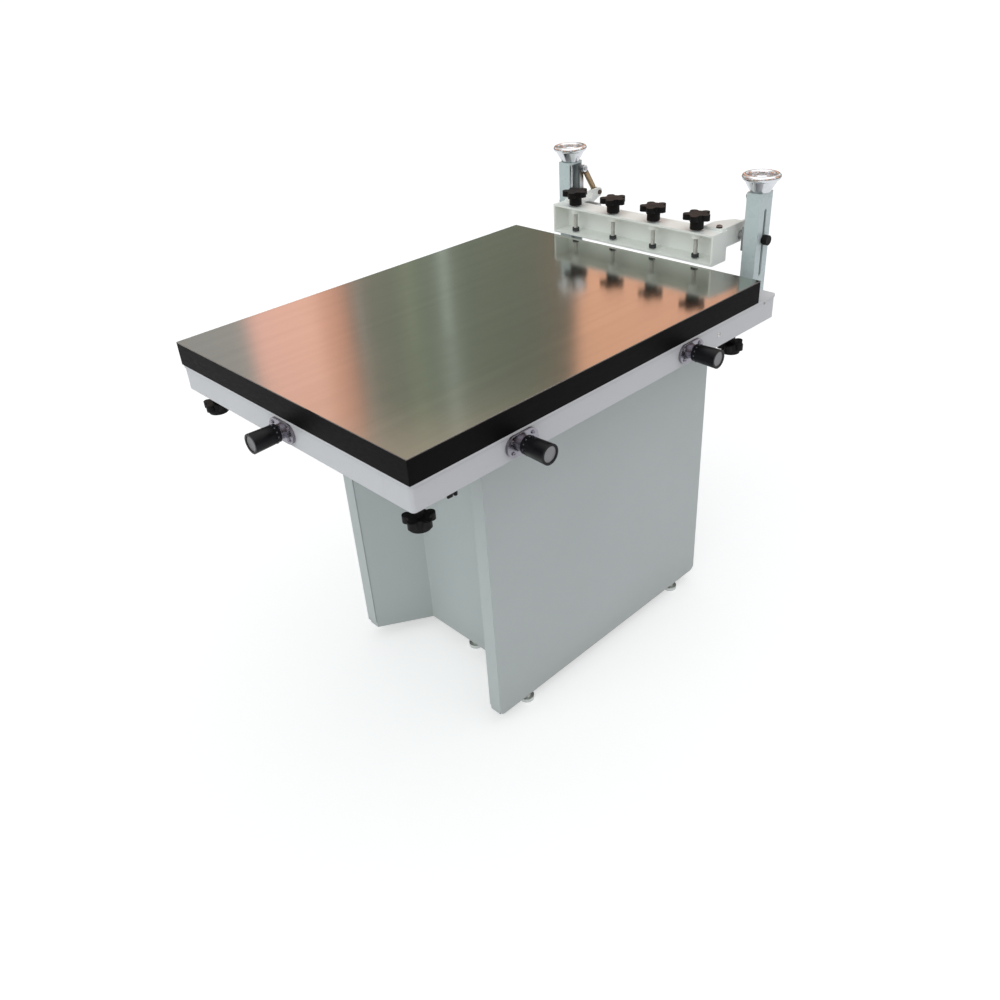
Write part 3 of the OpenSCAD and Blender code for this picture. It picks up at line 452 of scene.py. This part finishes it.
def black_core(name):
    """Black laminate edge: deep black, satin, with a fine grain and paler arrises, partly scuffs and partly
    a painted highlight.
    """
    s = Shader(name)
    grain = s.noise(1.0, 3.0, 0.6, s.stretched((90.0, 90.0, 700.0)))
    cloud = s.ramp(s.noise(6.0, 3.0), 0.3, 0.7)
    base = s.blend(cloud, linear(7, 6, 7), linear(13, 10, 11))
    rub = s.math("MULTIPLY", s.edges(0.0014, 0.01, 0.1), s.ramp(s.noise(70.0, 3.0), 0.48, 0.62))
    # Paler along the arrises: partly scuffs, partly a painted highlight
    s.surface(Base_Color=s.blend(s.math("MULTIPLY", rub, 0.3), base, SCUFFED_AND_HIGHLIT_CORE))
    s.surface(Roughness=s.ramp(grain, 0.3, 0.7, 0.42, 0.56), Specular_IOR_Level=0.05)
    s.relief([(grain, 0.00004, 0.3)], 0.0012)
    return s.material


def plating(name, colour, roughness):
    """Polished plating with faint polishing lines and fingerprints."""
    s = Shader(name)
    smear = s.ramp(s.noise(45.0, 4.0, 0.6), 0.42, 0.72)
    s.surface(Metallic=1.0, Base_Color=s.blend(s.math("MULTIPLY", smear, 0.25), colour, SMEARED_CHROME))
    s.surface(Roughness=s.ramp(s.noise(120.0, 4.0), 0.3, 0.8, roughness, roughness + 0.10))
    s.relief([(s.noise(380.0, 2.0), 0.00002, 0.2)], 0.0007)
    return s.material


def turned_metal(name, colour, shade, roughness=0.30):
    """Machined or plated steel with fine tool marks, small stains and darker pits."""
    s = Shader(name)
    marks = s.noise(1.0, 3.0, 0.6, s.stretched((250.0, 250.0, 1600.0)))
    stain = s.ramp(s.noise(35.0, 4.0, 0.6), 0.45, 0.75)
    s.surface(Metallic=1.0, Base_Color=s.blend(s.math("MULTIPLY", stain, 0.6), colour, shade))
    s.surface(Roughness=s.ramp(marks, 0.25, 0.75, roughness - 0.06, roughness + 0.10))
    s.relief([(marks, 0.00002, 0.3)], 0.0004)
    return s.material


def moulded(name, colour, roughness):
    """Dark moulded plastic or rubber with a fine spark grain and paler rubbed edges."""
    s = Shader(name)
    spark = s.noise(1500.0, 2.0, 0.6)
    cloud = s.ramp(s.noise(30.0, 3.0), 0.3, 0.7)
    paler = tuple(min(1.0, part * 1.5) for part in colour[:3]) + (1.0,)
    base = s.blend(cloud, colour, paler)
    rub = s.math("MULTIPLY", s.edges(0.0012, 0.02, 0.2), s.ramp(s.noise(90.0, 3.0), 0.4, 0.6))
    s.surface(Base_Color=s.blend(s.math("MULTIPLY", rub, 0.25), base, RUBBED_PLASTIC))
    s.surface(Roughness=s.ramp(s.noise(60.0, 3.0), 0.3, 0.7, roughness - 0.05, roughness + 0.10))
    s.surface(Specular_IOR_Level=0.17)
    s.relief([(spark, GRAIN_HEIGHT, 0.35)], 0.0012)
    return s.material


def threaded_rod(name, colour, shade, roughness):
    """Plated screw whose thread is a fine upright ripple, with painted shade in its grooves."""
    s = Shader(name)
    mapped = s.node("ShaderNodeSeparateXYZ")
    s.link(s.place, mapped.inputs[0])
    wave = s.math("SINE", s.math("MULTIPLY", mapped.outputs["Z"], 2 * math.pi / THREAD_PITCH), 0.0)
    stain = s.ramp(s.noise(60.0, 4.0, 0.6), 0.4, 0.75)
    groove_shade = s.ramp(wave, -1.0, 0.2)
    stained = s.blend(s.math("MULTIPLY", stain, 0.5), colour, shade)
    # Painted shade: the thread's grooves take the darker colour
    s.surface(Metallic=1.0, Base_Color=s.blend(groove_shade, shade, stained))
    s.surface(Roughness=s.ramp(s.noise(200.0, 3.0), 0.3, 0.7, roughness, roughness + 0.15))
    s.relief([(wave, 0.0003, 0.8)])
    return s.material


FINISHES = {
    "pedestal_paint": powder_coat("pedestal_paint", linear(202, 208, 208), linear(193, 200, 199), 0.42, 0.3),
    "frame_paint": powder_coat("frame_paint", linear(218, 217, 221), linear(209, 209, 213), 0.34),
    "beam_paint": powder_coat("beam_paint", linear(249, 251, 247), linear(243, 246, 241), 0.36, 0.0),
    "table_black": black_core("table_black"),
    "table_stainless": brushed_sheet("table_stainless", linear(176, 178, 171), linear(158, 160, 153)),
    "machined_steel": turned_metal("machined_steel", linear(176, 178, 180), linear(138, 138, 138)),
    "zinc_steel": turned_metal("zinc_steel", linear(204, 206, 208), linear(168, 168, 166), 0.26),
    "chrome": plating("chrome", linear(214, 216, 220), 0.05),
    "knob_plastic": moulded("knob_plastic", linear(13, 12, 13), 0.52),
    "grip_plastic": moulded("grip_plastic", linear(14, 14, 17), 0.34),
    "bronze": turned_metal("bronze", linear(176, 148, 104), linear(128, 104, 72)),
    "strut_metal": turned_metal("strut_metal", linear(160, 138, 110), linear(118, 98, 74), 0.34),
    "pad_rubber": moulded("pad_rubber", linear(54, 57, 58), 0.7),
}

# The columns' pale paint, with a cyan tint that is a painted reflection
COLUMN_PAINT_AND_REFLECTION = powder_coat("column_paint_and_reflection", linear(213, 226, 228), linear(205, 218, 220), 0.28, 0.3)

# Nodes whose finish differs a little from their slot's, by the start of their names
OWN_FINISHES = {
    "clamp_screw": threaded_rod("threaded_rod", linear(236, 238, 236), linear(158, 160, 158), 0.42),
    "column_left": COLUMN_PAINT_AND_REFLECTION,
    "column_right": COLUMN_PAINT_AND_REFLECTION,
    "adjuster_collars": turned_metal("satin_zinc", linear(148, 145, 154), linear(112, 110, 116), 0.24),
    "levelling_feet": turned_metal("foot_zinc", linear(204, 210, 208), linear(178, 184, 182), 0.5),
    "spindle": turned_metal("dull_plating", linear(130, 130, 132), linear(104, 104, 106), 0.42),
}


def dress_nodes():
    slots = {row["node"]: row["material_slot"] for row in frame["record"]["subparts"]}
    for name, piece in NODES.items():
        own = [finish for start, finish in OWN_FINISHES.items() if name.startswith(start)]
        piece.data.materials.clear()
        piece.data.materials.append(own[0] if own else FINISHES[slots[name]])


dress_nodes()


# Small surface parts

SHARP_ANGLE = math.radians(35)


def add_piece(name, mesh, body, slot, place, axis=(0, 0, 1), finish=None):
    """Places a mesh drawn up +Z on a body, with its +Z along axis."""
    piece = bpy.data.objects.new(name, mesh)
    bpy.context.scene.collection.objects.link(piece)
    turn = Vector(axis).to_track_quat("Z", "Y").to_matrix().to_4x4()
    piece.data.transform(Matrix.Translation(Vector(place)) @ turn)
    for face in piece.data.polygons:
        face.use_smooth = True
    piece.data.set_sharp_from_angle(angle=SHARP_ANGLE)
    piece.data.materials.append(finish or FINISHES[slot])
    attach(piece, body)


def turned(profile, steps):
    """A closed turned shape from (radius, height) points that start and end on the axis."""
    work = bmesh.new()
    rings = []
    for radius, height in profile:
        if radius == 0:
            rings.append([work.verts.new((0, 0, height))])
            continue
        ring = []
        for index in range(steps):
            angle = 2 * math.pi * index / steps
            ring.append(work.verts.new((radius * math.cos(angle), radius * math.sin(angle), height)))
        rings.append(ring)
    for low, high in zip(rings, rings[1:]):
        for index in range(steps):
            corners = [low[index % len(low)], low[(index + 1) % len(low)],
                       high[(index + 1) % len(high)], high[index % len(high)]]
            work.faces.new(list(dict.fromkeys(corners)))
    bmesh.ops.recalc_face_normals(work, faces=work.faces)
    return work


def as_mesh(work, name):
    mesh = bpy.data.meshes.new(name)
    work.to_mesh(mesh)
    work.free()
    return mesh


# A cross-head screw: its height and recess as shares of its radius and height, its dome in degrees
HEAD_RISE = 0.55
HEAD_ANGLES = (12, 25, 38, 51, 64, 77)
HEAD_STEPS = 32
RECESS_REACH = 0.62
RECESS_HALF_WIDTH = 0.11
RECESS_DEPTH = 0.55
RECESS_OVERSHOOT = 1.2
RECESS_TAPER_ALONG = 0.55
RECESS_TAPER_ACROSS = 0.7


def cross_head(name, radius):
    """A domed screw head with a cross recess whose arms taper down to the middle."""
    height = radius * HEAD_RISE
    dome = [(0, 0), (radius, 0)]
    for degrees in HEAD_ANGLES:
        angle = math.radians(degrees)
        dome.append((radius * math.cos(angle), height * math.sin(angle)))
    dome.append((0, height))
    work = turned(dome, HEAD_STEPS)
    cutter = bmesh.new()
    arm = radius * RECESS_REACH
    half = radius * RECESS_HALF_WIDTH
    roof = Vector((0, 0, height * RECESS_OVERSHOOT))
    floor = Vector((0, 0, height - height * RECESS_DEPTH))
    for along in (Vector((1, 0, 0)), Vector((0, 1, 0))):
        across = Vector((along.y, along.x, 0))
        upper = []
        lower = []
        for a, b in ((-1, -1), (1, -1), (1, 1), (-1, 1)):
            reach = along * a * arm
            width = across * b * half
            upper.append(cutter.verts.new(reach + width + roof))
            lower.append(cutter.verts.new(reach * RECESS_TAPER_ALONG + width * RECESS_TAPER_ACROSS + floor))
        cutter.faces.new(upper)
        cutter.faces.new(list(reversed(lower)))
        for index in range(4):
            after = (index + 1) % 4
            cutter.faces.new((lower[index], lower[after], upper[after], upper[index]))
    bmesh.ops.recalc_face_normals(cutter, faces=cutter.faces)
    return carved(as_mesh(work, name), as_mesh(cutter, name + "_cutter"))


def carved(mesh, cutter):
    """The mesh less the cutter."""
    whole = bpy.data.objects.new("whole", mesh)
    tool = bpy.data.objects.new("tool", cutter)
    for thing in (whole, tool):
        bpy.context.scene.collection.objects.link(thing)
    cut = whole.modifiers.new("cut", "BOOLEAN")
    cut.operation = "DIFFERENCE"
    cut.object = tool
    cut.solver = "EXACT"
    cut.use_self = True
    bpy.context.view_layer.update()
    made = bpy.data.meshes.new_from_object(whole.evaluated_get(bpy.context.evaluated_depsgraph_get()))
    bpy.data.objects.remove(whole)
    bpy.data.objects.remove(tool)
    bpy.data.meshes.remove(mesh)
    bpy.data.meshes.remove(cutter)
    return made


RAIL_LOW, RAIL_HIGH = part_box("frame_right_rail")
LIP = 0.0015
RAIL_WEB_X = RAIL_HIGH.x - LIP
RAIL_MIDDLE_Z = (RAIL_LOW.z + RAIL_HIGH.z) / 2

# The rail's screws, by their distance behind the table's middle
RAIL_SCREW_BACK = 0.284
RAIL_SCREW_R = 0.0042
FOOT_SCREW_BACK = 0.423
FOOT_SCREW_DROP = 0.008
FOOT_SCREW_R = 0.0026


def add_rail_screws():
    """The bright screw before the rear adjuster's lock and the small dark one at the column's foot."""
    bright = (RAIL_WEB_X, TABLE_TOP.y + RAIL_SCREW_BACK, RAIL_MIDDLE_Z)
    head = cross_head("rail_screw", RAIL_SCREW_R)
    add_piece("rail_screw", head, "base", "zinc_steel", bright, (1, 0, 0))
    dark = (RAIL_WEB_X, TABLE_TOP.y + FOOT_SCREW_BACK, RAIL_HIGH.z - FOOT_SCREW_DROP)
    head = cross_head("foot_screw", FOOT_SCREW_R)
    add_piece("foot_screw", head, "base", "machined_steel", dark, (1, 0, 0))


add_rail_screws()


# The pad and the plug under the rail: length, width, height and rounding of the pad, profile of the plug
PAD_SIZES = (0.010, 0.004, 0.0062, 0.0012)
PAD_INSET = 0.002
PAD_FORWARD = 0.3342
PAD_STEPS = 12
PLUG_PROFILE = [(0, 0), (0.0032, 0), (0.0032, 0.0060), (0.0028, 0.0074), (0.0016, 0.0080), (0, 0.0080)]
PLUG_INSET = 0.0032
PLUG_FORWARD = 0.3235
PLUG_STEPS = 24


def oblong_pad(name, length, width, height, rounding):
    """A flat pad with round ends, drawn along Y, whose lower rim is rounded."""
    half = width / 2
    bend = length / 2 - half
    outline = []
    for end, start in ((1, 0), (-1, math.pi)):
        for step in range(PAD_STEPS + 1):
            angle = start + math.pi * step / PAD_STEPS
            outline.append((half * math.cos(angle), end * bend + half * math.sin(angle)))
    work = bmesh.new()
    floor = work.faces.new([work.verts.new((x, y, -height)) for x, y in outline])
    rim = list(floor.edges)
    roof = bmesh.ops.extrude_face_region(work, geom=[floor])
    raised = [part for part in roof["geom"] if isinstance(part, bmesh.types.BMVert)]
    bmesh.ops.translate(work, verts=raised, vec=(0, 0, height))
    bmesh.ops.bevel(work, geom=rim, offset=rounding, segments=4, profile=0.5, affect="EDGES")
    bmesh.ops.recalc_face_normals(work, faces=work.faces)
    return as_mesh(work, name)


def add_rail_buffer():
    """The dark pad and plug that peep out under the right rail, before the pedestal."""
    under = RAIL_LOW.z
    pad = (RAIL_WEB_X - PAD_INSET, TABLE_TOP.y - PAD_FORWARD, under)
    add_piece("rail_pad", oblong_pad("rail_pad", *PAD_SIZES), "base", "knob_plastic", pad)
    plug = (RAIL_WEB_X - PLUG_INSET, TABLE_TOP.y - PLUG_FORWARD, under)
    mesh = as_mesh(turned(PLUG_PROFILE, PLUG_STEPS), "rail_plug")
    add_piece("rail_plug", mesh, "base", "knob_plastic", plug, (0, 0, -1))


add_rail_buffer()


# The bolts on the swing arms' plates over the beam: place from the beam's middle, back edge and top
ARM_BOLT_X = 0.180
ARM_BOLT_INSET = 0.006
ARM_BOLT_LIFT = 0.0041
ARM_BOLT_HEAD = (0.0108, 0.0043)
# The bolts on the arms' inner faces at the struts' lower pins, in the shared frame
ARM_X = 0.192
ARM_THICK = 0.005
LEVER_Y = 0.494
LEVER_Z = 0.7593
LEVER_BOLT_HEAD = (0.0085, 0.0036)
# Where a head's corners begin to slope, and how far they slope in
HEX_SHOULDER = 0.72
HEX_TOP = 0.84


def hex_head(name, across, height):
    """A hexagon head whose upper corners are cut away."""
    corner = across / math.sqrt(3)
    shoulder = (corner, height * HEX_SHOULDER)
    profile = [(0, 0), (corner, 0), shoulder, (corner * HEX_TOP, height), (0, height)]
    return as_mesh(turned(profile, 6), name)


def add_arm_bolts():
    low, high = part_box("clamp_beam")
    middle = (low.x + high.x) / 2
    steel = turned_metal("dark_bolt", linear(92, 76, 70), linear(58, 46, 42), 0.42)
    for side, sign in (("left", -1), ("right", 1)):
        top = (middle + sign * ARM_BOLT_X, high.y - ARM_BOLT_INSET, high.z + ARM_BOLT_LIFT)
        name = "arm_bolt_" + side
        head = hex_head(name, *ARM_BOLT_HEAD)
        add_piece(name, head, "clamp", "zinc_steel", top, (0, 0, 1), steel)
        inner = (middle + sign * (ARM_X - ARM_THICK), LEVER_Y, LEVER_Z)
        name = "lever_bolt_" + side
        head = hex_head(name, *LEVER_BOLT_HEAD)
        add_piece(name, head, "clamp", "zinc_steel", inner, (-sign, 0, 0), steel)


add_arm_bolts()


# The ring of pips round each grip's inner end
PIP_COUNT = 12
PIP_STEPS = 16
PIP_RING_R = 0.0143
PIP_INSET = 0.0055
PIP_PROFILE = [(0, 0), (0.0015, 0), (0.0015, 0.0003), (0.0013, 0.0007), (0.0008, 0.0010), (0, 0.0011)]


def pip_ring(name):
    """Domes round the Z axis, each facing outward."""
    whole = bmesh.new()
    for index in range(PIP_COUNT):
        turn = Matrix.Rotation(2 * math.pi * index / PIP_COUNT, 4, "Z")
        outward = Matrix.Translation((PIP_RING_R, 0, 0)) @ Matrix.Rotation(math.pi / 2, 4, "Y")
        dome = turned(PIP_PROFILE, PIP_STEPS)
        bmesh.ops.transform(dome, matrix=turn @ outward, verts=dome.verts)
        one = as_mesh(dome, name + "_dome")
        whole.from_mesh(one)
        bpy.data.meshes.remove(one)
    return as_mesh(whole, name)


def add_grip_pips():
    steel = turned_metal("pip_steel", linear(88, 90, 98), linear(62, 62, 68), 0.28)
    for side in ("front", "side_front", "side_rear"):
        low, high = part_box("grip_" + side)
        middle = (low + high) / 2
        if side == "front":
            place, axis = (middle.x, high.y - PIP_INSET, middle.z), (0, -1, 0)
        else:
            place, axis = (low.x + PIP_INSET, middle.y, middle.z), (1, 0, 0)
        name = "pips_" + side
        add_piece(name, pip_ring(name), "adjuster_" + side, "machined_steel", place, axis, steel)


add_grip_pips()
